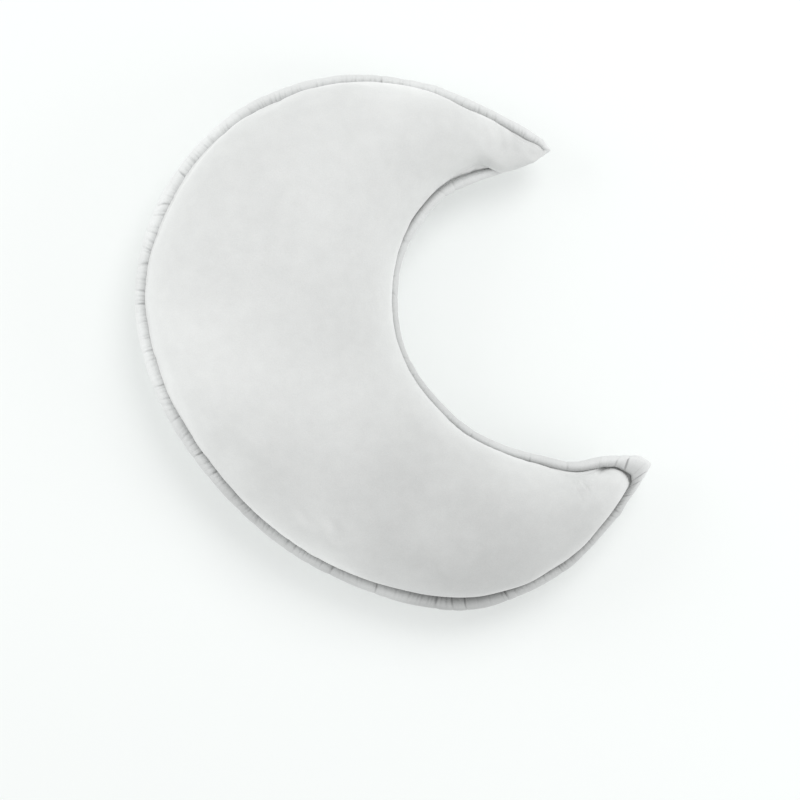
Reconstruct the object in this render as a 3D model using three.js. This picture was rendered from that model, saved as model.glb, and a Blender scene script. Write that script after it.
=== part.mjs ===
// A crescent-shaped throw cushion lying on its back: two velvet panels sewn round a soft filling,
// with a velvet-covered piping let into the seam. Millimetres, +Z up. The bay between the horns
// faces +X, and the origin is on the surface, below the middle of the outline.

import * as THREE from "three";
import { mergeVertices } from "three/addons/utils/BufferGeometryUtils.js";

// The piping: a round cord in a strip of velvet, gathered unevenly as it is sewn on
const PIPING_RADIUS = 4;
const PIPING_OFFSET = 5.1; // from the seam to the middle of the cord
const PIPING_SIDES = 8;
const PIPING_STEPS = 352;
const STEPS_BY_LENGTH = 0.65; // the rest go by rows, so that the steps are shorter round the tips
const GATHERS = [
  // how deep each set of folds in the strip is, and how many of them go round the whole edge
  { depth: 0.16, count: 131, start: 0.4 },
  { depth: 0.1, count: 83, start: 1.9 },
  { depth: 0.08, count: 37, start: 3.1 },
];

// The lips: each panel turns out of the seam round the piping before it swells
const LIP_OUT = 1.7;
const LIP_RISE = 4.6;
const UNDERSIDE_REACH = 2.5; // how far the back panel swells past the seam

// The lobes: half a superellipse over and under the seam
const LOBE_POWER = 2.2;
const LOBE_POINTS = 19;
const LOBE_START = 0.35; // of a step, from where a lobe begins to its first point
const STEPS_PER_SECTION = 5;

const SAME_POINT = 1e-4; // points nearer than this are one

const VELVET = 0xd6d8d6;
const PIPING_VELVET = 0xcbcdcc;

// One row for each width line across the crescent, from the upper horn's tip to the lower one's.
// outer and inner: where the seam is, x, y and height above the surface. crown and belly: how far
// the front and back panels stand from the seam. reachOuter and reachInner: how far the front
// panel swells past its seam, over the piping.
const SECTIONS = [
  { outer: [176, 114, 34], inner: [176, 114, 34], crown: 8, belly: 8, reachOuter: 1, reachInner: 1 },
  { outer: [169, 128, 35], inner: [167, 111, 35], crown: 13, belly: 11, reachOuter: 0, reachInner: 6 },
  { outer: [144, 152, 36], inner: [149, 110, 36], crown: 23, belly: 18, reachOuter: 0, reachInner: 8 },
  { outer: [106, 183, 38], inner: [126, 111, 38], crown: 33, belly: 27, reachOuter: 1, reachInner: 5 },
  { outer: [42, 211, 41], inner: [92, 108, 41], crown: 43, belly: 38, reachOuter: 2, reachInner: 3 },
  { outer: [-37, 211, 44], inner: [61, 91, 44], crown: 53, belly: 48, reachOuter: 2, reachInner: 4 },
  { outer: [-106, 176, 46], inner: [35, 65, 47], crown: 59, belly: 55, reachOuter: 2, reachInner: 4 },
  { outer: [-159, 107, 47], inner: [18, 27, 48], crown: 61, belly: 57, reachOuter: 2, reachInner: 4 },
  { outer: [-171, 30, 47], inner: [13, -9, 48], crown: 60, belly: 57, reachOuter: 2, reachInner: 4 },
  { outer: [-154, -48, 46], inner: [20, -45, 48], crown: 57, belly: 55, reachOuter: 2, reachInner: 4 },
  { outer: [-113, -126, 45], inner: [39, -84, 47], crown: 54, belly: 53, reachOuter: 3, reachInner: 3 },
  { outer: [-57, -180, 43], inner: [63, -111, 45], crown: 49, belly: 48, reachOuter: 3, reachInner: 3 },
  { outer: [14, -215, 41], inner: [93, -132, 43], crown: 42, belly: 39, reachOuter: 3, reachInner: 2 },
  { outer: [82, -211, 38], inner: [122, -146, 40], crown: 33, belly: 27, reachOuter: 4, reachInner: 1 },
  { outer: [127, -191, 36], inner: [146, -151, 37], crown: 23, belly: 18, reachOuter: 4, reachInner: 1 },
  { outer: [160, -172, 35], inner: [165, -154, 35], crown: 13, belly: 11, reachOuter: 3, reachInner: 2 },
  { outer: [173, -160, 34], inner: [173, -160, 34], crown: 8, belly: 8, reachOuter: 2, reachInner: 2 },
];
const LAST = SECTIONS.length - 1;

const vector = (xyz) => new THREE.Vector3(...xyz);

// The seam as one closed line: along the outer edge to the lower tip, and back along the inner one
const seam = new THREE.CatmullRomCurve3(
  [
    ...SECTIONS.map((row) => vector(row.outer)),
    ...SECTIONS.slice(1, LAST)
      .reverse()
      .map((row) => vector(row.inner)),
  ],
  true,
  "centripetal",
);

// How thick and how full the cushion is at any place between two rows
const swell = new THREE.CatmullRomCurve3(
  SECTIONS.map((row) => new THREE.Vector3(row.crown, row.belly, 0)),
);
const reach = new THREE.CatmullRomCurve3(
  SECTIONS.map((row) => new THREE.Vector3(row.reachOuter, row.reachInner, 0)),
);

// A point of the seam, and the level direction straight out of the cushion there
function seamAt(share) {
  const at = ((share % 1) + 1) % 1;
  const along = seam.getTangent(at);
  return { point: seam.getPoint(at), out: new THREE.Vector3(along.y, -along.x, 0).normalize() };
}

// A place beside the seam, so far out and so far up
function beside({ point, out }, outward, up) {
  return point.clone().addScaledVector(out, outward).setZ(point.z + up);
}

// One lobe of a section, from the outer lip over the panel to the inner one
function lobe(outer, inner, reachOuter, reachInner, height, side) {
  const from = beside(outer, reachOuter, side * LIP_RISE);
  const to = beside(inner, reachInner, side * LIP_RISE);
  const steps = LOBE_POINTS - 1 + 2 * LOBE_START;
  const points = [];
  for (let i = 0; i < LOBE_POINTS; i++) {
    const angle = (Math.PI * (i + LOBE_START)) / steps;
    const cosine = Math.cos(angle);
    const across = (1 - Math.sign(cosine) * Math.abs(cosine) ** (2 / LOBE_POWER)) / 2;
    const up = Math.sin(angle) ** (2 / LOBE_POWER);
    const point = from.clone().lerp(to, across);
    point.z += side * (height - LIP_RISE) * up;
    points.push(point);
  }
  return points;
}

// The closed outline of the cushion across one width line, flat where it rests on the surface
function sectionAt(station) {
  const turn = 2 * LAST;
  const outer = seamAt(station / turn);
  const inner = seamAt((turn - station) / turn);
  const { x: crown, y: belly } = swell.getPoint(station / LAST);
  const { x: reachOuter, y: reachInner } = reach.getPoint(station / LAST);
  const ring = [
    outer.point,
    beside(outer, LIP_OUT, LIP_RISE),
    ...lobe(outer, inner, reachOuter, reachInner, crown, 1),
    beside(inner, LIP_OUT, LIP_RISE),
    inner.point,
    beside(inner, LIP_OUT, -LIP_RISE),
    ...lobe(outer, inner, UNDERSIDE_REACH, UNDERSIDE_REACH, belly, -1).reverse(),
    beside(outer, LIP_OUT, -LIP_RISE),
  ];
  return ring.map((point) => point.setZ(Math.max(point.z, 0)));
}

// The gathered piping's outline across the cord at a share of the way round the edge
function pipingRingAt(share) {
  const { point, out } = seamAt(share);
  const middle = point.clone().addScaledVector(out, PIPING_OFFSET);
  const gathered = GATHERS.reduce(
    (sum, { depth, count, start }) => sum + depth * Math.sin(2 * Math.PI * count * share + start),
    0,
  );
  return Array.from({ length: PIPING_SIDES }, (_, side) => {
    const angle = (Math.PI * (2 * side + 1)) / PIPING_SIDES;
    const shareOfFold = (1 + Math.cos(angle)) / 2; // the folds run out towards the seam
    const radius = PIPING_RADIUS + gathered * shareOfFold;
    const ringPoint = middle.clone().addScaledVector(out, radius * Math.cos(angle));
    return ringPoint.setZ(middle.z + radius * Math.sin(angle));
  });
}

// Skins a row of rings, each joined to the next, and the last to the first where it goes all round
function skin(rings, goesRound) {
  const size = rings[0].length;
  const positions = rings.flat().flatMap((point) => [point.x, point.y, point.z]);
  const triangles = [];
  for (let r = 0; r < rings.length - (goesRound ? 0 : 1); r++) {
    const here = r * size;
    const next = ((r + 1) % rings.length) * size;
    for (let i = 0; i < size; i++) {
      const j = (i + 1) % size;
      triangles.push(here + i, next + i, next + j, here + i, next + j, here + j);
    }
  }
  const geometry = new THREE.BufferGeometry();
  geometry.setAttribute("position", new THREE.Float32BufferAttribute(positions, 3));
  geometry.setIndex(triangles);
  const closed = mergeVertices(geometry, SAME_POINT);
  closed.computeVertexNormals();
  return closed;
}

function makeCushion() {
  const rings = Array.from({ length: LAST * STEPS_PER_SECTION + 1 }, (_, i) =>
    sectionAt(i / STEPS_PER_SECTION),
  );
  const velvet = new THREE.MeshStandardMaterial({ color: VELVET, roughness: 0.9, metalness: 0 });
  const cushion = new THREE.Mesh(skin(rings, false), velvet);
  cushion.name = "cushion";
  return cushion;
}

function makePiping() {
  const rings = Array.from({ length: PIPING_STEPS }, (_, i) => {
    const share = i / PIPING_STEPS;
    const byLength = seam.getUtoTmapping(share);
    return pipingRingAt(share + STEPS_BY_LENGTH * (byLength - share));
  });
  const velvet = new THREE.MeshStandardMaterial({ color: PIPING_VELVET, roughness: 0.9, metalness: 0 });
  const piping = new THREE.Mesh(skin(rings, true), velvet);
  piping.name = "piping";
  return piping;
}

const crescent = new THREE.Group();
crescent.add(makeCushion(), makePiping());

// The middle of the outline goes to the origin
const outline = new THREE.Box3().setFromObject(crescent).getCenter(new THREE.Vector3());
crescent.position.set(-outline.x, -outline.y, 0);

export default crescent;
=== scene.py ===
# A crescent-shaped velvet throw pillow with gathered piping, lying on its back on a pale floor.
# Metres, +Z up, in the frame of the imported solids. The cloth is shaped in millimetres.
import math

import bpy
import numpy as np
from mathutils import Matrix, Vector


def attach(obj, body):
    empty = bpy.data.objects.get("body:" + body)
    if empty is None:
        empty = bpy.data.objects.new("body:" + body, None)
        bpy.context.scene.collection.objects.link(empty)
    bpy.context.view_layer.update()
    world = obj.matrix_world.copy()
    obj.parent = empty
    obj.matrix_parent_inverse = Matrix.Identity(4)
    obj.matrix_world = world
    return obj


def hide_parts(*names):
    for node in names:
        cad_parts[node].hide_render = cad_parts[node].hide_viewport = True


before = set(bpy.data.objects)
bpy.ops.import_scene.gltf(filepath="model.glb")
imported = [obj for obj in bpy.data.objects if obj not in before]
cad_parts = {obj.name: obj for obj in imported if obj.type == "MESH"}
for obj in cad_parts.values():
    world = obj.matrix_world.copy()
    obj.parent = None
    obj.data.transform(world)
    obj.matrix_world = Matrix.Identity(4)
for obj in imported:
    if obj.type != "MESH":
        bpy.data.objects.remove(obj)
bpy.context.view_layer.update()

MM = 0.001

# The sewn shape: one row for each width line across the crescent, from the upper horn's tip to
# the lower one's. outer and inner are where the seam is. crown and belly are how far the front
# and the back stand from it, and reach is how far the front swells past it, outside and inside.
SECTIONS = [
    dict(outer=(181, 111.6, 34), inner=(181, 111.6, 34), crown=8, belly=8, reach=(-1, 4.5)),
    dict(outer=(170, 125.3, 35), inner=(168, 111, 35), crown=13, belly=11, reach=(-3, 1)),
    dict(outer=(144, 152, 36), inner=(149, 110, 36), crown=23, belly=18, reach=(-0.5, 1)),
    dict(outer=(106, 183, 38), inner=(126, 111, 38), crown=33, belly=27, reach=(1.2, -4)),
    dict(outer=(42, 211, 41), inner=(92, 108, 41), crown=43, belly=38, reach=(1.6, 1.2)),
    dict(outer=(-37, 211, 44), inner=(61, 91, 44), crown=53, belly=48, reach=(-1.3, 3)),
    dict(outer=(-106, 176, 46), inner=(35, 65, 47), crown=59, belly=55, reach=(-5, 5.2)),
    dict(outer=(-159, 107, 47), inner=(18, 27, 48), crown=61, belly=57, reach=(-2.5, 5.7)),
    dict(outer=(-171, 30, 47), inner=(13, -9, 48), crown=60, belly=57, reach=(-1.2, 5.5)),
    dict(outer=(-154, -48, 46), inner=(20, -45, 48), crown=57, belly=55, reach=(1, 5.5)),
    dict(outer=(-113, -126, 45), inner=(39, -84, 47), crown=54, belly=53, reach=(2, 4.5)),
    dict(outer=(-57, -180, 43), inner=(63, -111, 45), crown=49, belly=48, reach=(1.4, 4)),
    dict(outer=(14, -215, 41), inner=(93, -132, 43), crown=42, belly=39, reach=(1, 2.3)),
    dict(outer=(82, -211, 38), inner=(121.5, -147.6, 40), crown=33, belly=27, reach=(2.8, -2)),
    dict(outer=(127, -191, 36), inner=(146, -151, 37), crown=23, belly=18, reach=(1.5, -1.5)),
    dict(outer=(160, -172, 35), inner=(165, -154, 35), crown=13, belly=11, reach=(-1, 2)),
    dict(outer=(173, -160, 34), inner=(173, -160, 34), crown=8, belly=8, reach=(2, 2)),
]
LAST = len(SECTIONS) - 1
MIDDLE = np.array([2.526, -0.953, 0])  # where the part's origin is in the table
LEAST_KNOT = 1e-3  # so that points in one place do a line no harm
ROW_SPACING = 8.0  # how far apart the rows count as, when a line runs through a column
UNDERSIDE_REACH = 2.5  # how far the back swells past the seam
LOBE_POWER = 2.2  # of the superellipse that the front and the back follow

# The lips, where either panel turns out of the seam round the piping: how far out from the seam
# they stand, by stations on the inner edge, and how far over or under it
LIP_STATIONS = [2.4, 3.1, 3.7, 4.3, 5.0, 12.7, 13.3, 14.0, 15.0, 16.0]
LIP_OUT_INSIDE = [1.7, -1.2, -1.6, 0.2, 1.7, 1.7, 0.9, 0.2, 0.2, 0.2]
LIP_OUT_OUTSIDE = 0.0
LIP_RISE = 4.6

# How finely the cushion is laid out before it is subdivided once
LOBE_POINTS = 47
LOBE_START = 0.35  # of a step, from where the front or the back begins to its first point
STEPS_PER_SECTION = 15
SEAM_STEPS = 8000
SEAM_NUDGE = 1e-4  # a share of the seam, to either side, that its direction is measured over

# The filling, which the cloth is blown up by
FILL_START = 0.95  # of the full height, before it is blown up
FILL_PRESSURE = 4.0
FILL_FRAMES = 20
FILL_QUALITY = 6
FILL_CAP = 8.0  # how far a point of the cloth may move
FILL_CAP_AT_SEAM = 0.8
FILL_CAP_WIDTH = 45.0  # from the seam to where the cap is whole
VELVET_MASS = 0.3
VELVET_STIFFNESS = 15.0
VELVET_SHEAR = 5.0
VELVET_BENDING = 2.0
SPARE_CLOTH = 0.015  # how much longer the cloth is than the sewn shape, as a share
SOFTENING = 10  # how many times the cloth's moves are evened out

# The upper horn, where the front swells over the inner run of the piping and leaves a groove
# beside the outer run. Places along it are stations, counted in rows from its tip.
COVER = 8.0  # how far past the seam the front swells there
COVER_FROM, COVER_BLEND = 3.05, 1.0
COVER_TIP = 0.9  # from here on the cover narrows to the tip
SHOULDER = 4.5  # how far the front is pressed down where it covers the piping
SHOULDER_FROM, SHOULDER_BLEND = 2.9, 1.5
SHOULDER_START, SHOULDER_WIDTH = 5.0, 18.0  # in from the seam
PIPING_TOP = 4.5  # what stays clear over the seam there
GROOVE = 2.0  # how far it draws the front in
GROOVE_FROM, GROOVE_FROM_BLEND = 0.4, 0.5
GROOVE_TO, GROOVE_TO_BLEND = 2.1, 1.4
GROOVE_START, GROOVE_WIDTH = 4.0, 14.0  # in from the seam
TIP_ROUND = 12.0  # from either tip to where the back is as deep as elsewhere

# The lower horn, where the front ends bluntly and the piping bunches up round the corner
BLUNT_MIDDLE = np.array([145.0, -168.8])
BLUNT_RADIUS = 16.2
BLUNT_WAY = np.array([0.96, 0.28])  # the direction that it ends in
BLUNT_HEIGHT = -3.0  # of the cloth past the blunt end, over the seam
BLUNT_FROM = 12.5  # the first station that it may take in
BLUNT_BLEND = 5.5  # how far before its middle it sets in, and how far past it it is whole
POCKET_FROM, POCKET_BLEND = 0.93, 0.07  # where painted shade darkens the hollow round its edge, in shares of its radius

# The piping: a soft round cord in a gathered strip, with its tail in the seam
PIPING_RADIUS = 4.0
PIPING_RADIUS_OUTSIDE = 4.8  # on the outer run, which is gathered more fully
OUTSIDE_FROM, OUTSIDE_FROM_BLEND = 0.05, 0.06  # that run, in shares of the way round
OUTSIDE_TO, OUTSIDE_TO_BLEND = 0.44, 0.05
TAIL_SHARES = [0.0, 0.05, 0.09, 0.27, 0.34, 0.44, 0.5]
TAILS = [-0.4, -0.4, -2.8, -2.8, -1.0, 0.3, 0.6]  # where the tail starts, out from the seam
PIPING_SIDES = 32
PIPING_STEP = 0.52
PLAN_ROWS = 420
PLAN_POINTS = 24000
PIPING_SEED = 5
# Round the upper tip: shares of the way round from it, and there how far the piping stands out
# from the seam on the outer run and on the inner one, and its cord's radius
TIP_SHARES = [0.0, 0.012, 0.03, 0.05, 0.085, 0.12]
TIP_REACH_OUTER = [4.8, 6.5, 7.7, 8.0, 8.8, 9.1]
TIP_REACH_INNER = [4.6, 5.0, 5.8, 6.6, 7.8, 9.1]
TIP_RADII = [2.4, 3.2, 3.7, 3.8, 4.0, 4.0]
TIP_CORNER = math.radians(50)  # how far either side's outline leans from the tip's own direction
CORNER_HEIGHT = 35.5
# Along the lower edge the piping stands out farther: shares of the way round, and how much
SAG_SHARES = [0.33, 0.352, 0.37, 0.386, 0.41, 0.43, 0.445]
SAG = [0.0, 2.3, 2.9, 1.2, 1.2, 1.0, 0.0]

# The bunched corner's sections: where each one starts beside the front, where it ends at the
# outline, and how deep a crease runs along it
CORNER = [
    dict(inner=(144.4, -182.3), outer=(153.7, -184.4), crease=0.0),
    dict(inner=(152.0, -177.2), outer=(161.4, -179.1), crease=0.5),
    dict(inner=(159.6, -173.2), outer=(172.4, -170.2), crease=0.6),
    dict(inner=(162.6, -169.6), outer=(179.7, -164.0), crease=0.7),
    dict(inner=(163.6, -166.8), outer=(182.7, -160.3), crease=0.0),
    dict(inner=(163.9, -163.6), outer=(176.2, -151.7), crease=0.0),
    dict(inner=(161.0, -160.0), outer=(168.0, -148.1), crease=1.9),
    dict(inner=(154.7, -153.8), outer=(159.3, -145.5), crease=0.7),
    dict(inner=(147.7, -151.5), outer=(150.6, -143.0), crease=0.0),
]
CORNER_TIP = CORNER[4]["outer"]
CORNER_CALM = 14.0  # this near that tip there are no fine gathers, and twice as far they are whole
INNER_CALM = 0.3  # how strong they are on the inner run

# Creases across the piping's outer run, by their bearing from the middle of the crescent's disc
DISC_MIDDLE = np.array([19.0, -4.0])
CREASES = [
    dict(bearing=70.5, depth=0.6),
    dict(bearing=75.3, depth=1.3),
    dict(bearing=97.0, depth=0.5),
    dict(bearing=114.0, depth=0.6),
    dict(bearing=123.4, depth=1.3),
    dict(bearing=130.7, depth=1.4),
    dict(bearing=133.3, depth=0.7),
    dict(bearing=141.0, depth=0.8),
    dict(bearing=144.0, depth=0.9),
    dict(bearing=149.9, depth=0.9),
    dict(bearing=152.8, depth=1.6),
    dict(bearing=163.3, depth=0.9),
    dict(bearing=171.3, depth=1.0),
    dict(bearing=180.0, depth=0.6),
    dict(bearing=190.3, depth=1.3),
    dict(bearing=196.3, depth=1.2),
    dict(bearing=212.0, depth=0.6),
    dict(bearing=224.0, depth=0.7),
    dict(bearing=234.3, depth=1.1),
    dict(bearing=245.3, depth=1.0),
    dict(bearing=259.3, depth=1.2),
    dict(bearing=262.3, depth=0.9),
    dict(bearing=265.3, depth=1.0),
    dict(bearing=274.0, depth=0.7),
    dict(bearing=287.0, depth=0.8),
]

# Smaller creases all the way round: the shortest gap and the mean one, how far they keep from
# the others, and how deep they are, from and to
EXTRA_GAPS = (9, 34)
EXTRA_CLEAR = 7
EXTRA_DEPTHS = (0.1, 0.55)

# The fine gathers, with the shortest gap and the mean one
FINE_GAPS = (1.8, 4.6)
FINE_DEPTHS = (0.0, 0.5)
FINE_LEAST = 0.12  # how strong they are on the outside, as a share of what they are at the seam
FINE_LEAN = 0.5  # how far they lean to either side, on top and underneath

# How the strip puffs up between its folds
GAP_SPREAD = 1.6  # how even the gaps between folds are
PUFF_POWER = 2.6
PUFF_CAP = 0.4
PUFF_HEIGHT, FINE_PUFF_HEIGHT = 0.04, 0.07  # of a gap
PUFF_MEAN, FINE_PUFF_MEAN = 0.2, 0.1  # taken off again, so that the piping keeps its radius
FOLD_WIDTH = 0.7
SEAM_SIDE = 1.25  # over 1, so that the folds are whole before the seam

# How unevenly the strip lies: how strong each kind is, and how many random values it goes by
SLANT, SLANT_COUNT = 1.3, 90
TWIST, TWIST_COUNT = 0.7, 140
SWELL, SWELL_COUNT = 0.16, 70
FADES, FADE_COUNT = (0.65, 1.0), 110  # how much of a fold is gone on the outside

# How much painted shade darkens the folds, and the piping's side in the gap beside the front, less
# so at the tip
FOLD_SHADE = 0.8
GAP_SHADE, GAP_POWER = 0.6, 4
TIP_SHADE, TIP_SHADE_FROM, TIP_SHADE_BLEND = 0.7, 20.0, 40.0

# Wrinkles in the front, from one end to the other: troughs have a depth, and ridges a minus
WRINKLES = [
    dict(ends=((152.5, 139), (148.5, 117)), width=3.4, depth=0.9),
    dict(ends=((139.8, 145), (135.0, 120)), width=4.2, depth=0.8),
    dict(ends=((146.5, 141), (142.5, 119)), width=3.4, depth=-0.6),
    dict(ends=((161.5, 129), (158.5, 113)), width=3.8, depth=0.7),
    dict(ends=((121.2, -154), (125.4, -164.1)), width=1.5, depth=0.8),
    dict(ends=((115.3, -156.8), (116.9, -171.5)), width=1.6, depth=0.7),
    dict(ends=((118.3, -153.5), (122.6, -165.5)), width=1.9, depth=-1.5),
    dict(ends=((124.5, -153.5), (129.0, -161.5)), width=1.9, depth=-1.5),
    dict(ends=((64, -165), (59, -155)), width=7.0, depth=-0.8),
    dict(ends=((-84.6, -117.2), (-87.2, -137.2)), width=4.0, depth=-0.9),
    dict(ends=((-78, -119), (-80, -139)), width=4.5, depth=0.7),
    dict(ends=((-100.5, -100), (-97.3, -115)), width=3.5, depth=0.6),
    dict(ends=((-106, -104), (-103, -118)), width=3.5, depth=-0.5),
    dict(ends=((-133, -45), (-118, -66)), width=6.0, depth=0.25),
    dict(ends=((-150, -20), (-143, -8)), width=5.0, depth=0.25),
]
WRINKLE_BEND = 0.06  # how far one bows to the side, as a share of its length
WRINKLE_HALF = 0.25  # how far from its middle it is whole, and past that how fast it fades
WRINKLE_FADE = 0.35

# Puckers, the pleats that run from the seam into either panel. Each is drawn between two limits.
PUCKER_GAPS = (4, 17)
PUCKER_WIDTHS = (1.6, 4.2)
PUCKER_LENGTHS = (3.5, 8.5)  # in widths
PUCKER_DEPTH, PUCKER_DEPTHS = 0.16, (0.3, 1.4)  # of a width, and how that varies
PUCKER_SLANTS = (-0.35, 0.35)
PUCKER_START = 2.5  # from the seam to where it is whole
PUCKER_FAN = 0.6  # how wide it is at the seam; it fans out from there
PUCKER_FADE = 1.5
PUCKER_SIDES = 5  # how many widths to either side of it are worked out
LOWER_CALM, LOWER_CALM_FROM, LOWER_CALM_BLEND = 0.65, 11.25, 1.5  # weaker along the lower horn

# Soft lumps in the filling, and where the relief of the surface begins
LUMPS = [dict(size=55, depth=0.45), dict(size=19, depth=0.16)]
LUMP_WAVES = 14
LUMP_SIZES = (0.7, 1.5)  # how the size varies
RELIEF_START = 3.0  # from the seam to where the relief is whole
RESTS_BELOW = 0.02  # what lies lower rests on the surface, and stays flat
CUSHION_SEED = 20

# The velvet. Broad patches of painted light and shade, placed in the table's plan, stand in for how
# its nap catches the light: lighter along the left, darker in the middle and towards the bottom.
VELVET = dict(Roughness=0.95, Sheen_Weight=0.9, Sheen_Roughness=0.4, Specular_IOR_Level=0.15)
VELVET_TONE = (0.655, 0.665, 0.658)
PIPING_TONE = (0.71, 0.722, 0.718)
PAINTED_LIGHT_AND_SHADE_PATCHES = [
    dict(place=(-140, 15), radius=120, tone=0.27),
    dict(place=(-150, 80), radius=70, tone=0.14),
    dict(place=(-105, 125), radius=90, tone=0.1),
    dict(place=(-95, -140), radius=75, tone=0.2),
    dict(place=(-125, -95), radius=55, tone=0.18),
    dict(place=(-85, -150), radius=45, tone=0.08),
    dict(place=(0, 42), radius=50, tone=0.05),
    dict(place=(-45, 15), radius=85, tone=-0.14),
    dict(place=(50, 85), radius=45, tone=-0.08),
    dict(place=(70, 130), radius=80, tone=-0.04),
    dict(place=(80, 190), radius=60, tone=0.12),
    dict(place=(172, 112), radius=45, tone=-0.17),
    dict(place=(-20, -105), radius=95, tone=-0.3),
    dict(place=(20, -120), radius=85, tone=-0.1),
    dict(place=(40, -180), radius=90, tone=-0.28),
    dict(place=(105, -190), radius=45, tone=-0.1),
    dict(place=(125, -170), radius=60, tone=-0.1),
    dict(place=(38, -70), radius=55, tone=0.12),
    dict(place=(-35, -90), radius=60, tone=-0.1),
    dict(place=(18, -152), radius=50, tone=-0.06),
    dict(place=(59, -128), radius=35, tone=0.09),
    dict(place=(100, -162), radius=40, tone=-0.06),
]
# Painted light and shade on the piping: lighter along the left and top, darker along the bottom and
# the inner run
PIPING_LIGHT_AND_SHADE_PATCHES = [
    dict(place=(-172, 55), radius=85, tone=0.2),
    dict(place=(-130, 150), radius=70, tone=0.14),
    dict(place=(-70, 200), radius=60, tone=0.08),
    dict(place=(70, 205), radius=60, tone=-0.06),
    dict(place=(-140, -90), radius=65, tone=-0.13),
    dict(place=(-90, -158), radius=60, tone=-0.13),
    dict(place=(-15, -212), radius=75, tone=-0.3),
    dict(place=(50, -220), radius=70, tone=-0.24),
    dict(place=(108, -203), radius=50, tone=-0.28),
    dict(place=(148, -186), radius=40, tone=-0.25),
    dict(place=(85, -15), radius=160, tone=-0.3),
    dict(place=(112, -143), radius=50, tone=-0.1),
]
PATCH_HEIGHT = 0.05  # of the patches' middles, in metres
RIM_PAINTED_SHEEN, RIM_START, RIM_WIDTH = 0.14, 4.0, 30.0  # painted sheen: how much lighter the velvet is towards the seam, where that starts, and how far it reaches
# How dark the painted shade in creases is: at the seam, in the relief, and in the piping's folds and
# gap
PAINTED_CREASE_SHADE = -0.35
SEAM_SHADE_WIDTH = 3.5  # of the painted shade along the seam
SEAM_SHADE_CALM, SEAM_SHADE_CALM_FROM, SEAM_SHADE_CALM_BLEND = 0.3, 2.4, 0.8  # the painted seam shade is lighter along the upper horn
RELIEF_SHADE, RELIEF_LEAST = 0.15, 0.2  # how much painted shade the deeper relief gets, and from what depth on

# The velvet's fine unevenness: how fine each noise is, per metre, and how far it changes the tone
SMUDGES = dict(scale=14.0, tone=0.025)
RUBBED = dict(scale=95.0, tone=0.02)
PILE = dict(scale=1300.0, tone=0.035)
PILE_BUMP = dict(Strength=0.5, Distance=0.00025)
RIPPLES_SCALE = 160.0
RIPPLES_BUMP = dict(Strength=0.25, Distance=0.0004)
NOISE_DETAIL = 2.0
NOISE_LOW, NOISE_HIGH = 0.28, 0.72  # about where a noise ends, of 0 to 1

# The floor and the light
FLOOR_TONE = (0.605, 0.63, 0.62)
FLOOR_GLOW = 0.29
FLOOR_ROUGHNESS = 0.8
FLOOR_SIZE = 30.0
WHITE = (1, 1, 1, 1)
SKY_STRENGTH = 0.71
LIGHTS = [
    dict(name="key", right=0.8, up=1.5, height=2.5, size=1.8, power=30),
    dict(name="fill", right=-1.9, up=0.6, height=1.1, size=1.4, power=10),
    dict(name="bay", right=1.5, up=-0.35, height=0.75, size=0.9, power=5),
]

# The camera, above the seam's plane and a little towards the lower left of the view
VIEW_SPAN = 0.6463  # across the view, through its middle
VIEW_CENTRE = Vector((0.0023, -0.0451, 0.045))
VIEW_TURN = math.radians(-18.7)  # from +X to the right of the view
VIEW_DISTANCE = 1.6
VIEW_LEAN = math.radians(3)
SENSOR_WIDTH = 36


# Lines and sections

def smoothstep(x):
    x = np.clip(x, 0, 1)
    return x * x * (3 - 2 * x)


def smooth_line(points, share, closed=False):
    """Places at shares 0 to 1 of the centripetal Catmull-Rom line through the points."""
    points = np.asarray(points, float)
    spans = len(points) if closed else len(points) - 1
    at = (share % 1.0 if closed else share) * spans
    start = np.clip(at.astype(int), 0, spans - 1)
    w = (at - start)[:, None]
    if closed:
        row = np.vstack([points[-1:], points, points[:2]])
    else:
        row = np.vstack([2 * points[0] - points[1], points, 2 * points[-1] - points[-2]])
    p0, p1, p2, p3 = (row[start + k] for k in range(4))

    def knot(a, b):
        return np.maximum(np.sqrt(np.linalg.norm(b - a, axis=1, keepdims=True)), LEAST_KNOT)

    d0, d1, d2 = knot(p0, p1), knot(p1, p2), knot(p2, p3)
    m1 = ((p1 - p0) / d0 - (p2 - p0) / (d0 + d1) + (p2 - p1) / d1) * d1
    m2 = ((p2 - p1) / d1 - (p3 - p1) / (d1 + d2) + (p3 - p2) / d2) * d1
    return p1 + m1 * w + (3 * (p2 - p1) - 2 * m1 - m2) * w**2 + (2 * (p1 - p2) + m1 + m2) * w**3


SEAM_POINTS = [row["outer"] for row in SECTIONS] + [row["inner"] for row in SECTIONS[-2:0:-1]]


def seam_at(share):
    """Points of the seam and the level directions straight out of the cushion there."""
    ahead = smooth_line(SEAM_POINTS, share + SEAM_NUDGE, True)
    along = ahead - smooth_line(SEAM_POINTS, share - SEAM_NUDGE, True)
    out = np.stack([along[:, 1], -along[:, 0], np.zeros(len(along))], axis=1)
    return smooth_line(SEAM_POINTS, share, True), out / np.linalg.norm(out, axis=1, keepdims=True)


def column(name, stations):
    """A column of the table at any station between its rows, as a smooth line."""
    rows = np.arange(LAST + 1.0)
    values = np.array([row[name] for row in SECTIONS], float).reshape(LAST + 1, -1)
    line = smooth_line(np.column_stack([rows * ROW_SPACING, values]), stations / LAST)
    return line[:, 1:]


def beside(seam, outward, up):
    """Places beside the seam, so far out and so far up."""
    points, out = seam
    moved = points + out * np.reshape(outward, (-1, 1))
    moved[:, 2] += up
    return moved


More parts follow.
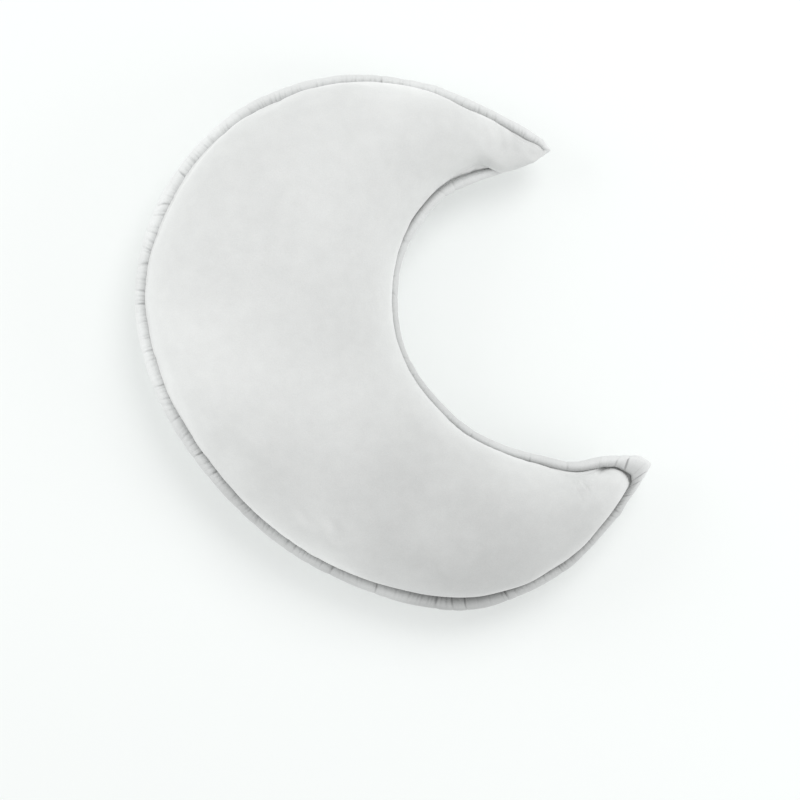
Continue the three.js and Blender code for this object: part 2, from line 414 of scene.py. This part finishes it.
def lobe(outer, inner, reach_outer, reach_inner, height, side):
    """The front (side 1) or the back (side -1) across each station, as half a superellipse."""
    steps = LOBE_POINTS - 1 + 2 * LOBE_START
    angle = np.pi * (np.arange(LOBE_POINTS) + LOBE_START) / steps
    across = (1 - np.sign(np.cos(angle)) * np.abs(np.cos(angle)) ** (2 / LOBE_POWER)) / 2
    up = np.sin(angle) ** (2 / LOBE_POWER)
    start = beside(outer, reach_outer, side * LIP_RISE)[:, None, :]
    end = beside(inner, reach_inner, side * LIP_RISE)[:, None, :]
    points = start + (end - start) * across[None, :, None]
    points[:, :, 2] += side * (height[:, None] - LIP_RISE) * up
    return points


def cushion_rings(stations, fill):
    """Every station's closed outline: outer seam, front, inner seam, back."""
    outer = seam_at(stations / (2 * LAST))
    inner = seam_at(1 - stations / (2 * LAST))
    crown, belly = column("crown", stations)[:, 0] * fill, column("belly", stations)[:, 0] * fill
    reach = column("reach", stations)
    lip_inner = np.interp(stations, LIP_STATIONS, LIP_OUT_INSIDE)
    covers = smoothstep((COVER_FROM - stations) / COVER_BLEND) * smoothstep(stations / COVER_TIP)
    reach_inner = reach[:, 1] + (COVER - reach[:, 1]) * covers
    front = lobe(outer, inner, reach[:, 0], reach_inner, crown, 1)
    back = lobe(outer, inner, UNDERSIDE_REACH, UNDERSIDE_REACH, belly, -1)
    parts = [
        outer[0][:, None],
        beside(outer, LIP_OUT_OUTSIDE, LIP_RISE)[:, None],
        front,
        beside(inner, lip_inner, LIP_RISE)[:, None],
        inner[0][:, None],
        beside(inner, lip_inner, -LIP_RISE)[:, None],
        back[:, ::-1],
        beside(outer, LIP_OUT_OUTSIDE, -LIP_RISE)[:, None],
    ]
    return np.concatenate(parts, axis=1)


def length_round(line):
    """How far each point of a closed line is along it, and its whole length."""
    steps = np.linalg.norm(np.diff(line, axis=0, append=line[:1]), axis=1)
    return np.cumsum(steps) - steps, steps.sum()


SEAM_SHARES = np.linspace(0, 1, SEAM_STEPS, endpoint=False)
SEAM_WAYS, SEAM_LENGTH = length_round(smooth_line(SEAM_POINTS, SEAM_SHARES, True))


def seam_way(share):
    """How far along the seam a share of it is, in millimetres."""
    return np.interp(share % 1.0, np.append(SEAM_SHARES, 1), np.append(SEAM_WAYS, SEAM_LENGTH))


def make_mesh(name, points, faces, values=None):
    """A mesh object from points in millimetres, with named values kept at its points."""
    mesh = bpy.data.meshes.new(name)
    mesh.from_pydata((points * MM).tolist(), [], faces.tolist())
    for key, value in (values or {}).items():
        attribute = mesh.attributes.new(key, "FLOAT", "POINT")
        attribute.data.foreach_set("value", value.astype(np.float32))
    mesh.shade_smooth()
    piece = bpy.data.objects.new(name, mesh)
    bpy.context.scene.collection.objects.link(piece)
    return piece


def points_of(mesh, what="co"):
    values = np.empty(len(mesh.vertices) * 3, np.float32)
    mesh.vertices.foreach_get(what, values)
    return values.reshape(-1, 3).astype(float)


def value_of(mesh, key):
    values = np.empty(len(mesh.vertices), np.float32)
    mesh.attributes[key].data.foreach_get("value", values)
    return values.astype(float)


# The cushion

def lay_out_cushion():
    """The sewn shape as one closed mesh, with what the later steps go by kept at its points."""
    stations = np.linspace(0, LAST, LAST * STEPS_PER_SECTION + 1)
    rings = cushion_rings(stations, FILL_START) - MIDDLE
    rings[:, :, 2] = np.maximum(rings[:, :, 2], 0)
    count, size = rings.shape[:2]
    inner = LOBE_POINTS + 3
    steps = np.linalg.norm(np.diff(rings, axis=1, append=rings[:, :1]), axis=2)
    girth = np.cumsum(steps, axis=1) - steps
    whole = steps.sum(axis=1, keepdims=True)
    from_outer = np.minimum(girth, whole - girth)
    from_inner = np.abs(girth - girth[:, inner : inner + 1])
    from_inner = np.minimum(from_inner, whole - from_inner)
    front = np.where(np.arange(size) < inner, 1.0, -1.0)
    front[[0, inner]] = 0
    index = np.arange(count * size).reshape(count, size)
    k = np.arange(size)
    partner = np.where(k <= inner, inner - k, size + inner - k)
    fold = np.minimum(k, partner)
    index[0] = index[0][fold]
    index[-1] = index[-1][fold]
    a, b = index[:-1], index[1:]
    faces = np.stack([a, b, np.roll(b, -1, axis=1), np.roll(a, -1, axis=1)], axis=2).reshape(-1, 4)
    used, faces = np.unique(faces, return_inverse=True)
    faces = faces.reshape(-1, 4)
    pin = np.zeros(size)
    pin[[0, 1, inner - 1, inner, inner + 1, size - 1]] = 1
    values = {
        "station": np.repeat(stations, size),
        "from_outer": from_outer.ravel(),
        "from_inner": from_inner.ravel(),
        "front": np.tile(front, count),
        "pin": np.tile(pin, count),
    }
    values = {key: value[used] for key, value in values.items()}
    return make_mesh("filled_cushion", rings.reshape(-1, 3)[used], faces, values)


def soften(mesh, moves):
    """Takes the sharpest folds out of the points' moves, by averaging each with its neighbours."""
    ends = np.empty(len(mesh.edges) * 2, np.int32)
    mesh.edges.foreach_get("vertices", ends)
    a, b = ends.reshape(-1, 2).T
    count = np.bincount(ends, minlength=len(moves))[:, None]
    for _ in range(SOFTENING):
        total = np.zeros_like(moves)
        np.add.at(total, a, moves[b])
        np.add.at(total, b, moves[a])
        moves = (moves + total / count) / 2
    return moves


def fill_cushion(cushion):
    """Blows the sewn shape up as cloth over a soft filling, held along the seam."""
    mesh = cushion.data
    start = points_of(mesh)
    from_seam = np.minimum(value_of(mesh, "from_outer"), value_of(mesh, "from_inner"))
    pinned = cushion.vertex_groups.new(name="seam")
    pinned.add(np.flatnonzero(value_of(mesh, "pin") > 0.5).tolist(), 1.0, "REPLACE")
    filling = cushion.modifiers.new("filling", "CLOTH")
    cloth = filling.settings
    cloth.quality = FILL_QUALITY
    cloth.mass = VELVET_MASS
    cloth.use_pressure = True
    cloth.uniform_pressure_force = FILL_PRESSURE
    cloth.tension_stiffness = cloth.compression_stiffness = VELVET_STIFFNESS
    cloth.shear_stiffness = VELVET_SHEAR
    cloth.bending_stiffness = VELVET_BENDING
    cloth.vertex_group_mass = "seam"
    cloth.shrink_min = -SPARE_CLOTH
    cloth.effector_weights.gravity = 0
    filling.collision_settings.use_collision = False
    filling.point_cache.frame_start, filling.point_cache.frame_end = 1, FILL_FRAMES
    scene = bpy.context.scene
    for step in range(1, FILL_FRAMES + 1):
        scene.frame_set(step)
    filled = points_of(cushion.evaluated_get(bpy.context.evaluated_depsgraph_get()).data)
    cushion.modifiers.clear()
    cushion.vertex_groups.clear()
    move = soften(mesh, filled - start)
    length = np.linalg.norm(move, axis=1)
    cap = FILL_CAP_AT_SEAM + (FILL_CAP - FILL_CAP_AT_SEAM) * smoothstep(from_seam / FILL_CAP_WIDTH)
    move *= np.minimum(1, cap * MM / np.maximum(length, 1e-9))[:, None]
    set_points(mesh, start + move)


def shape_horns(mesh):
    """The upper horn's groove and shoulder, the lower one's blunt end, and the back at both tips."""
    points = points_of(mesh) / MM + MIDDLE
    station, front = value_of(mesh, "station"), value_of(mesh, "front")
    from_outer = value_of(mesh, "from_outer")
    seam, out = seam_at(station / (2 * LAST))
    along = smoothstep((station - GROOVE_FROM) / GROOVE_FROM_BLEND)
    along *= smoothstep((GROOVE_TO - station) / GROOVE_TO_BLEND)
    across = smoothstep(from_outer / GROOVE_START) * smoothstep(1 - from_outer / GROOVE_WIDTH)
    points -= out * (GROOVE * along * across * (front > 0))[:, None]

    from_inner = value_of(mesh, "from_inner")
    along = smoothstep((SHOULDER_FROM - station) / SHOULDER_BLEND) * (front > 0)
    across = smoothstep(from_inner / SHOULDER_START)
    across *= np.exp(-((from_inner / SHOULDER_WIDTH) ** 2))
    rise = points[:, 2] - seam[:, 2]
    pressed = np.minimum(rise, np.maximum(rise - SHOULDER * along * across, PIPING_TOP))
    points[:, 2] += pressed - rise

    offset = points[:, :2] - BLUNT_MIDDLE
    past = smoothstep((offset @ BLUNT_WAY + BLUNT_BLEND) / (2 * BLUNT_BLEND))
    past *= (front > 0) * (station > BLUNT_FROM)
    share = np.clip(np.linalg.norm(offset, axis=1) / BLUNT_RADIUS, 0, 1)
    rise = points[:, 2] - seam[:, 2]
    dome = np.sqrt(1 - share**4)
    lowered = np.minimum(rise, BLUNT_HEIGHT + np.maximum(rise - BLUNT_HEIGHT, 0) * dome)
    points[:, 2] += past * (lowered - rise)
    # Painted shade in the hollow round the blunt end's edge
    keep_value(mesh, "pocket_shade", past * smoothstep((share - POCKET_FROM) / POCKET_BLEND))

    tips = np.array([SECTIONS[0]["outer"], SECTIONS[-1]["outer"]])[:, :2]
    away = np.linalg.norm(points[:, None, :2] - tips, axis=2).min(axis=1)
    rounded = np.sqrt(1 - np.clip(1 - away / TIP_ROUND, 0, 1) ** 2)
    points[:, 2] += np.where(front < 0, (points[:, 2] - seam[:, 2]) * (rounded - 1), 0)
    set_points(mesh, (points - MIDDLE) * MM)


def set_points(mesh, points):
    """Moves a mesh's points, none of them below the surface."""
    points[:, 2] = np.maximum(points[:, 2], 0)
    mesh.vertices.foreach_set("co", points.astype(np.float32).ravel())
    mesh.update()


def soft_lumps(points, size, chance):
    """Gentle random unevenness of about the given size, mostly between -1 and 1."""
    total = np.zeros(len(points))
    for _ in range(LUMP_WAVES):
        way = chance.normal(size=3)
        way /= np.linalg.norm(way)
        length = size * chance.uniform(*LUMP_SIZES)
        total += np.sin(points @ way * 2 * np.pi / length + chance.uniform(0, 2 * np.pi))
    return total / (LUMP_WAVES / 2)


def seam_puckers(way, from_seam, chance):
    """Short pleats that run from the seam into the panel, as deep as they are drawn in."""
    depth = np.zeros(len(way))
    place = 0.0
    while place < SEAM_LENGTH:
        place += chance.uniform(*PUCKER_GAPS)
        width = chance.uniform(*PUCKER_WIDTHS)
        length = width * chance.uniform(*PUCKER_LENGTHS)
        deep = PUCKER_DEPTH * width * chance.uniform(*PUCKER_DEPTHS)
        slant = chance.uniform(*PUCKER_SLANTS)
        near = (np.abs(way - place) < PUCKER_SIDES * width + length) & (from_seam < length)
        run = from_seam[near]
        across = (way[near] - place - slant * run) / (width * (PUCKER_FAN + run / length))
        along = (1 - run / length) ** PUCKER_FADE * smoothstep(run / PUCKER_START)
        depth[near] += deep * np.exp(-(across**2)) * along
    return depth


def wrinkle_depths(points):
    """How deep the front's own wrinkles are at each point."""
    depth = np.zeros(len(points))
    for wrinkle in WRINKLES:
        start, end = (np.array(place, float) for place in wrinkle["ends"])
        run = end - start
        length = np.linalg.norm(run)
        offset = points[:, :2] - start
        along = offset @ run / length
        bend = WRINKLE_BEND * length * np.sin(np.pi * np.clip(along / length, 0, 1))
        across = (offset @ np.array([-run[1], run[0]]) / length - bend) / wrinkle["width"]
        past = np.maximum(np.abs(along / length - 0.5) - WRINKLE_HALF, 0) / WRINKLE_FADE
        depth += wrinkle["depth"] * np.exp(-(across**2) - 2 * past**2)
    return depth


def dress_surface(mesh):
    """Puckers, wrinkles and soft lumps, pressed into the smooth cloth, and painted shade at the
    seam, round the blunt end and in the deeper relief, with a painted sheen towards the seam.
    """
    points = points_of(mesh) / MM + MIDDLE
    normals = points_of(mesh, "normal")
    station, front = value_of(mesh, "station"), value_of(mesh, "front")
    chance = np.random.default_rng(CUSHION_SEED)
    depth = sum(lump["depth"] * soft_lumps(points, lump["size"], chance) for lump in LUMPS)
    strength = 1 - LOWER_CALM * smoothstep((station - LOWER_CALM_FROM) / LOWER_CALM_BLEND)
    turn = station / (2 * LAST)
    for share, key in ((turn, "from_outer"), (1 - turn, "from_inner")):
        from_seam = value_of(mesh, key)
        for side in (1, -1):
            puckers = seam_puckers(seam_way(share), from_seam, chance)
            depth += np.where(front * side > 0, puckers, 0) * strength
    depth += np.where(front > 0, wrinkle_depths(points), 0)
    from_seam = np.minimum(value_of(mesh, "from_outer"), value_of(mesh, "from_inner"))
    depth *= smoothstep(from_seam / RELIEF_START)
    rests = points[:, 2] < RESTS_BELOW
    moved = points - normals * depth[:, None]
    moved[rests] = points[rests]
    set_points(mesh, (moved - MIDDLE) * MM)

    # Painted shade along the seam, round the blunt end and in the deeper relief, and a painted sheen
    # towards the seam
    seam_shade = np.exp(-((from_seam / SEAM_SHADE_WIDTH) ** 2))
    seam_shade *= 1 - SEAM_SHADE_CALM * smoothstep((SEAM_SHADE_CALM_FROM - station) / SEAM_SHADE_CALM_BLEND)
    seam_shade = np.maximum(seam_shade, value_of(mesh, "pocket_shade"))
    crease = np.clip(seam_shade + RELIEF_SHADE * np.clip(depth - RELIEF_LEAST, 0, 1), 0, 1)
    rim_sheen = np.exp(-((from_seam / RIM_WIDTH) ** 2)) * smoothstep(from_seam / RIM_START)
    keep_value(mesh, "shade", PAINTED_CREASE_SHADE * crease + RIM_PAINTED_SHEEN * rim_sheen)


def keep_value(mesh, key, values):
    """Keeps a named value at each of a mesh's points."""
    layer = mesh.attributes.get(key) or mesh.attributes.new(key, "FLOAT", "POINT")
    layer.data.foreach_set("value", values.astype(np.float32))


def make_cushion():
    """The cushion: laid out, filled, shaped at the horns, subdivided and dressed."""
    cushion = lay_out_cushion()
    fill_cushion(cushion)
    shape_horns(cushion.data)
    smooth = cushion.modifiers.new("smooth", "SUBSURF")
    smooth.levels = smooth.render_levels = 1
    shape = cushion.evaluated_get(bpy.context.evaluated_depsgraph_get())
    fine = bpy.data.meshes.new_from_object(shape)
    cushion.modifiers.clear()
    cushion.data = fine
    dress_surface(fine)
    fine.shade_smooth()
    return cushion


# The piping

def nearest(line, place):
    """Which point of a line is nearest to a place."""
    return np.argmin(np.linalg.norm(line - place, axis=1))


def piping_plan():
    """The piping's sections, all the way round: inner end, outer edge, height and radius."""
    share = np.arange(PLAN_ROWS) / PLAN_ROWS
    points, out = seam_at(share)
    reach_outer = np.interp(share, TIP_SHARES, TIP_REACH_OUTER)
    reach_inner = np.interp(1 - share, TIP_SHARES, TIP_REACH_INNER)
    lean = np.arccos(np.clip(out @ out[0], -1, 1))
    from_tip = np.minimum(share, 1 - share)
    corner = np.clip(TIP_CORNER - lean, 0, None) * (from_tip < TIP_SHARES[2])
    reach = np.where(share < 0.5, reach_outer, reach_inner) / np.cos(corner)
    reach += np.interp(share, SAG_SHARES, SAG)
    outside = smoothstep((share - OUTSIDE_FROM) / OUTSIDE_FROM_BLEND)
    outside *= smoothstep((OUTSIDE_TO - share) / OUTSIDE_TO_BLEND)
    tail = np.interp(share, TAIL_SHARES, TAILS)
    radius = np.interp(from_tip, TIP_SHARES, TIP_RADII)
    radius += (PIPING_RADIUS_OUTSIDE - PIPING_RADIUS) * outside
    inner = points + out * tail[:, None]
    outer = points + out * reach[:, None]
    rows = np.column_stack([inner[:, :2], outer[:, :2], points[:, 2], radius])
    corner = [[*row["inner"], *row["outer"], CORNER_HEIGHT, PIPING_RADIUS] for row in CORNER]
    corner = np.array(corner)
    first, last = (nearest(rows[:, :4], row[:4]) for row in corner[[0, -1]])
    return np.vstack([rows[: first - 1], corner, rows[last + 2 :]])


def gathers(way, whole, places, depths, height):
    """Puffs between folds, with a sharp valley at every fold, at places along a closed line."""
    order = np.argsort(places)
    places, depths = places[order], depths[order]
    at = way % whole
    row = np.searchsorted(places, at) - 1
    start = places[row] - whole * (row < 0)
    following = (row + 1) % len(places)
    end = places[following] + whole * (following <= row)
    gap = end - start
    share = (at - start) / gap
    puff = (1 - np.abs(2 * share - 1) ** PUFF_POWER) * np.minimum(height * gap, PUFF_CAP)
    near, far = (at - start) / FOLD_WIDTH, (end - at) / FOLD_WIDTH
    valley = depths[row] * np.exp(-(near**2)) + depths[following] * np.exp(-(far**2))
    return puff, valley


def random_places(whole, shortest, mean, chance):
    """Places along the piping, never nearer together than the shortest gap."""
    more = chance.gamma(GAP_SPREAD, (mean - shortest) / GAP_SPREAD, int(2 * whole / mean))
    places = np.cumsum(shortest + more)
    return places[places < whole - shortest]


def fold_places(outer, way, whole, on_inner_run, chance):
    """Where the strong folds and the fine gathers are along the piping, and how deep."""
    from_middle = outer - DISC_MIDDLE
    bearing = np.arctan2(from_middle[:, 1], from_middle[:, 0])
    ways, depths = [], []
    for crease in CREASES:
        off = np.angle(np.exp(1j * (bearing - math.radians(crease["bearing"]))))
        off = np.where(on_inner_run, np.inf, np.abs(off))
        ways.append(way[np.argmin(off)])
        depths.append(crease["depth"])
    for row in CORNER:
        if row["crease"]:
            ways.append(way[nearest(outer, row["outer"])])
            depths.append(row["crease"])
    extra = random_places(whole, *EXTRA_GAPS, chance)
    clear = [np.min(np.abs(np.array(ways) - place)) > EXTRA_CLEAR for place in extra]
    extra = extra[clear]
    ways = np.concatenate([ways, extra])
    depths = np.concatenate([depths, chance.uniform(*EXTRA_DEPTHS, len(extra))])
    fine_ways = random_places(whole, *FINE_GAPS, chance)
    fine_depths = chance.uniform(*FINE_DEPTHS, len(fine_ways))
    return ways, depths, fine_ways, fine_depths


def make_piping():
    """The gathered piping, laid out in rings of points across the cord."""
    plan = piping_plan()
    fine = smooth_line(plan, np.linspace(0, 1, PLAN_POINTS, endpoint=False), True)
    ways, whole = length_round(fine[:, 2:4])
    count = int(whole / PIPING_STEP)
    way = np.arange(count) * whole / count
    rows = np.column_stack([np.interp(way, ways, value) for value in fine.T])
    inner, outer = rows[:, :2], rows[:, 2:4]
    across = outer - inner
    width = np.linalg.norm(across, axis=1)
    across /= width[:, None]

    chance = np.random.default_rng(PIPING_SEED)
    on_inner_run = way > way[nearest(outer, CORNER_TIP)]
    folds = fold_places(outer, way, whole, on_inner_run, chance)
    places, depths, fine_places, fine_depths = folds

    def drifting(values):
        """Values spread evenly along the piping, as they are at each ring."""
        return np.interp(way, np.linspace(0, whole, len(values)), values)

    angle = 2 * np.pi * np.arange(PIPING_SIDES) / PIPING_SIDES
    to_seam = smoothstep((1 - np.cos(angle)) / 2 * SEAM_SIDE)
    slant = SLANT * drifting(chance.normal(size=SLANT_COUNT))
    twist = TWIST * drifting(chance.normal(size=TWIST_COUNT))
    swell = SWELL * drifting(chance.normal(size=SWELL_COUNT))
    fade = drifting(chance.uniform(*FADES, size=FADE_COUNT))

    at = way[:, None] + slant[:, None] * np.cos(angle) + twist[:, None] * np.sin(angle)
    fine_at = at + FINE_LEAN * np.sin(angle)
    puff, valley = gathers(at, whole, places, depths, PUFF_HEIGHT)
    fine_puff, fine_valley = gathers(fine_at, whole, fine_places, fine_depths, FINE_PUFF_HEIGHT)
    valley *= 1 - fade[:, None] * (1 - to_seam)
    calm = smoothstep(np.linalg.norm(outer - CORNER_TIP, axis=1) / CORNER_CALM - 1)
    calm *= np.where(on_inner_run, INNER_CALM, 1.0)
    share = (FINE_LEAST + (1 - FINE_LEAST) * to_seam) * calm[:, None]
    lift = puff - PUFF_MEAN - valley + (fine_puff - fine_valley - FINE_PUFF_MEAN) * share
    # Painted shade in the folds
    crease = np.clip(FOLD_SHADE * (valley + fine_valley * share), 0, 1)

    cord = rows[:, 5]
    radius = (cord + swell)[:, None] + lift
    half_inner = (width - cord)[:, None]
    outward = np.where(np.cos(angle) > 0, radius, half_inner) * np.cos(angle)
    rings = np.empty((count, PIPING_SIDES, 3))
    middle = outer - across * cord[:, None]
    rings[:, :, :2] = middle[:, None, :] + across[:, None, :] * outward[:, :, None]
    rings[:, :, 2] = rows[:, 4:5] + radius * np.sin(angle)
    rings -= MIDDLE
    # Painted shade on the piping's side in the gap beside the front, less near the upper tip
    from_tip = np.linalg.norm(outer - SECTIONS[0]["outer"][:2], axis=1)
    less = (1 - TIP_SHADE) * (1 - smoothstep((from_tip - TIP_SHADE_FROM) / TIP_SHADE_BLEND))
    deep = GAP_SHADE * (1 - less)
    shade = PAINTED_CREASE_SHADE * np.clip(crease + deep[:, None] * to_seam**GAP_POWER, 0, 1)
    index = np.arange(count * PIPING_SIDES).reshape(count, PIPING_SIDES)
    b = np.roll(index, -1, axis=0)
    faces = np.stack([index, b, np.roll(b, -1, axis=1), np.roll(index, -1, axis=1)], axis=2)
    values = {"shade": shade.ravel()}
    return make_mesh("gathered_piping", rings.reshape(-1, 3), faces.reshape(-1, 4), values)


# Materials

def principled(name, colour, **settings):
    """A plain material; each setting names an input of its shader."""
    material = bpy.data.materials.new(name)
    material.use_nodes = True
    shader = material.node_tree.nodes["Principled BSDF"]
    shader.inputs["Base Color"].default_value = (*colour, 1)
    for key, value in settings.items():
        shader.inputs[key.replace("_", " ")].default_value = value
    return material


class Nodes:
    """Adds shader nodes to a material's tree; each call gives back the new node's output."""

    def __init__(self, material):
        self.tree = material.node_tree
        self.shader = self.tree.nodes["Principled BSDF"]

    def add(self, kind, values, output=0, **settings):
        node = self.tree.nodes.new(kind)
        for key, value in settings.items():
            setattr(node, key, value)
        for key, value in values.items():
            if isinstance(value, bpy.types.NodeSocket):
                self.tree.links.new(value, node.inputs[key])
            else:
                node.inputs[key].default_value = value
        return node.outputs[output]

    def math(self, operation, *values):
        return self.add("ShaderNodeMath", dict(enumerate(values)), operation=operation)

    def noise(self, where, scale, least, most):
        """Noise as a number from least to most, about even."""
        values = {"Vector": where, "Scale": scale, "Detail": NOISE_DETAIL}
        texture = self.add("ShaderNodeTexNoise", values)
        values = {"From Min": NOISE_LOW, "From Max": NOISE_HIGH, "To Min": least, "To Max": most}
        return self.add("ShaderNodeMapRange", {"Value": texture, **values})

    def unevenness(self, where, scale, tone):
        """Noise that goes as far under 0 as over it."""
        return self.noise(where, scale, -tone, tone)

    def patch(self, where, place, radius, tone):
        """A soft round patch of painted light, or of painted shade where its tone is under 0, round
        a place in the table's plan, fading from its middle.
        """
        middle = ((place[0] - MIDDLE[0]) * MM, (place[1] - MIDDLE[1]) * MM, PATCH_HEIGHT)
        values = {0: where, 1: middle}
        away = self.add("ShaderNodeVectorMath", values, output="Value", operation="DISTANCE")
        values = {"From Min": 0.0, "From Max": radius * MM, "To Min": tone, "To Max": 0.0}
        values = {"Value": away, **values}
        return self.add("ShaderNodeMapRange", values, interpolation_type="SMOOTHSTEP")


def make_velvet(name, colour, patches):
    """Velvet: a sheen over a tone changed by patches of painted light and shade, smudges, pile, and
    the painted shade and sheen kept at the mesh's points.
    """
    material = principled(name, colour, **VELVET)
    nodes = Nodes(material)
    where = nodes.add("ShaderNodeTexCoord", {}, output="Object")
    smudges = nodes.unevenness(where, **SMUDGES)
    rubbed = nodes.unevenness(where, **RUBBED)
    pile = nodes.unevenness(where, **PILE)
    tone = nodes.math("ADD", smudges, rubbed)
    tone = nodes.math("ADD", tone, pile)
    # Patches of painted light and shade
    for patch in patches:
        tone = nodes.math("ADD", tone, nodes.patch(where, **patch))
    # The painted shade, and on the front the painted sheen, kept at the mesh's points
    shade = nodes.add("ShaderNodeAttribute", {}, output="Fac", attribute_name="shade")
    tone = nodes.math("ADD", tone, shade)
    tone = nodes.math("ADD", tone, 1.0)
    velvet = nodes.add("ShaderNodeVectorMath", {0: (*colour,), "Scale": tone}, operation="SCALE")
    nodes.tree.links.new(velvet, nodes.shader.inputs["Base Color"])
    ripples = nodes.noise(where, RIPPLES_SCALE, 0.0, 1.0)
    rippled = nodes.add("ShaderNodeBump", {**RIPPLES_BUMP, "Height": ripples})
    surface = nodes.add("ShaderNodeBump", {**PILE_BUMP, "Height": pile, "Normal": rippled})
    nodes.tree.links.new(surface, nodes.shader.inputs["Normal"])
    return material


# The stage

def make_floor():
    """A plain pale floor, kept nearly white by a little glow of its own."""
    far = FLOOR_SIZE / 2
    corners = [(-far, -far, 0), (far, -far, 0), (far, far, 0), (-far, far, 0)]
    mesh = bpy.data.meshes.new("floor")
    mesh.from_pydata(corners, [], [(0, 1, 2, 3)])
    floor = bpy.data.objects.new("floor", mesh)
    bpy.context.scene.collection.objects.link(floor)
    settings = dict(Roughness=FLOOR_ROUGHNESS, Emission_Color=WHITE, Emission_Strength=FLOOR_GLOW)
    mesh.materials.append(principled("floor_white", FLOOR_TONE, **settings))


RIGHT = Vector((math.cos(VIEW_TURN), math.sin(VIEW_TURN), 0))
UP = Vector((-math.sin(VIEW_TURN), math.cos(VIEW_TURN), 0))


def make_camera():
    """The photo's view, with the middle of the view at the height of the seam."""
    towards = (-RIGHT - UP).normalized() * math.sin(VIEW_LEAN) + Vector((0, 0, math.cos(VIEW_LEAN)))
    data = bpy.data.cameras.new("camera")
    data.sensor_width = SENSOR_WIDTH
    data.lens = data.sensor_width * VIEW_DISTANCE / VIEW_SPAN
    camera = bpy.data.objects.new("camera", data)
    bpy.context.scene.collection.objects.link(camera)
    across = UP.cross(towards).normalized()
    turn = Matrix((across, towards.cross(across), towards)).transposed()
    camera.matrix_world = Matrix.Translation(VIEW_CENTRE + towards * VIEW_DISTANCE) @ turn.to_4x4()
    bpy.context.scene.camera = camera


def make_light(name, right, up, height, size, power):
    """A round light over a place that is so far right and up from the middle of the view."""
    data = bpy.data.lights.new(name, "AREA")
    data.shape = "DISK"
    data.size = size
    data.energy = power
    light = bpy.data.objects.new(name, data)
    bpy.context.scene.collection.objects.link(light)
    light.location = VIEW_CENTRE + RIGHT * right + UP * up + Vector((0, 0, height))
    light.rotation_euler = (VIEW_CENTRE - light.location).to_track_quat("-Z", "Y").to_euler()


def make_lights():
    """An even white sky and three soft lights: plain studio light."""
    world = bpy.data.worlds.new("studio")
    world.use_nodes = True
    sky = world.node_tree.nodes["Background"]
    sky.inputs["Color"].default_value = WHITE
    sky.inputs["Strength"].default_value = SKY_STRENGTH
    bpy.context.scene.world = world
    for light in LIGHTS:
        make_light(**light)


make_camera()
make_lights()
make_floor()
cushion = make_cushion()
cushion.data.materials.append(make_velvet("velvet", VELVET_TONE, PAINTED_LIGHT_AND_SHADE_PATCHES))
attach(cushion, "root")
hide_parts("cushion")
piping = make_piping()
piping.data.materials.append(make_velvet("piping_velvet", PIPING_TONE, PIPING_LIGHT_AND_SHADE_PATCHES))
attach(piping, "root")
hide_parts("piping")
bpy.context.scene.view_settings.view_transform = "Standard"
